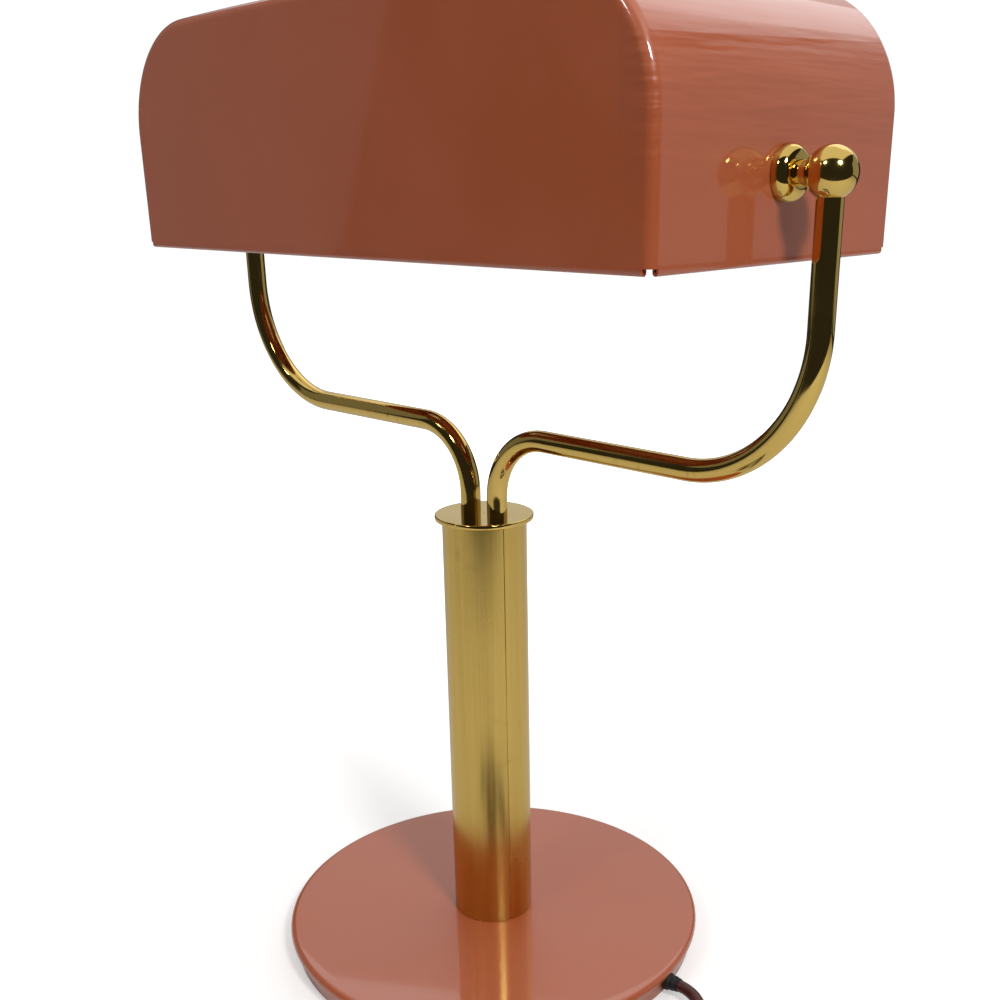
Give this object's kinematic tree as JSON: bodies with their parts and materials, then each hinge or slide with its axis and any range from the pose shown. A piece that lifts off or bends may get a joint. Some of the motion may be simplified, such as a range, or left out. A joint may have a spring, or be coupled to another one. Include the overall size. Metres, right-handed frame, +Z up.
{
  "type": "desk lamp",
  "caption": "Table lamp with a round weighted base, tubular stem, curved twin arms and an arched sheet-metal shade that tilts between ball pivots.",
  "frame": {"origin": "centre of the base's underside, on the table", "axes": "+Z up the stem; X along the shade's tilt axis, +X on the side where the cord leaves the base; -Y is the front"},
  "size_m": [0.387, 0.3135, 0.4641],
  "materials": {
    "enamel": "glossy rose-terracotta stove enamel on sheet steel",
    "satin_brass": "satin, drawn along its length, clear lacquer",
    "polished_brass": "polished, lacquered, slight tarnish",
    "cast_iron": "rough sand-cast, black paint",
    "zinc_steel": "zinc plated",
    "felt": "pressed wool felt",
    "black_rubber": "matt",
    "cord_sheath": "dark oxblood sheath, slight sheen",
    "white_plastic": "translucent nylon",
    "bakelite": "moulded, semi-gloss",
    "rocker_plastic": "moulded, semi-gloss",
    "bulb_glass": "opal glass",
    "pin_metal": "nickel plated"
  },
  "bodies": {
    "stand": {"base_cover": "enamel", "base_weight": "cast_iron", "base_felt": "felt", "cord_gland": "black_rubber", "cord_boot": "black_rubber", "base_washer": "zinc_steel", "base_nut": "zinc_steel", "tension_rod": "zinc_steel", "stem_spigot": "zinc_steel", "stem_tube": "satin_brass", "collar": "polished_brass", "arm_bridge": "zinc_steel", "arm_locknuts": "polished_brass", "inner_lead": "cord_sheath", "junction_block": "white_plastic", "arm_left": "polished_brass", "arm_right": "polished_brass", "arm_lead_left": "black_rubber", "arm_lead_right": "black_rubber", "ball_left": "polished_brass", "ball_right": "polished_brass", "cord_run": "cord_sheath", "switch_lower": "bakelite", "switch_upper": "bakelite", "switch_screws": "zinc_steel", "cord_link": "cord_sheath", "cord_coil": "cord_sheath", "coil_tie": "black_rubber", "cord_tail": "cord_sheath", "plug_body": "bakelite", "plug_pins": "pin_metal"},
    "shade": {"shade_wrap": "enamel", "shade_front": "enamel", "shade_back": "enamel", "rosette_left": "polished_brass", "rosette_right": "polished_brass", "spring_washers": "polished_brass", "spindle_left": "polished_brass", "spindle_right": "polished_brass", "inner_washers": "zinc_steel", "inner_nuts": "zinc_steel", "lampholder_left": "bakelite", "lampholder_right": "bakelite", "socket_shells": "polished_brass", "bulb_left": "bulb_glass", "bulb_right": "bulb_glass", "bulb_caps": "zinc_steel"},
    "rocker": {"switch_rocker": "rocker_plastic"}
  },
  "joints": [
    {"name": "shade_tilt", "type": "hinge", "parent": "stand", "child": "shade", "pos_m": [0, 0, 0.393], "axis": [1, 0, 0], "range_deg": [-80, 80]},
    {"name": "switch_rock", "type": "hinge", "parent": "stand", "child": "rocker", "pos_m": [0.16383, -0.04488, 0.01], "axis": [0.9063, 0.4226, 0], "range_deg": [-12, 0]}
  ]
}
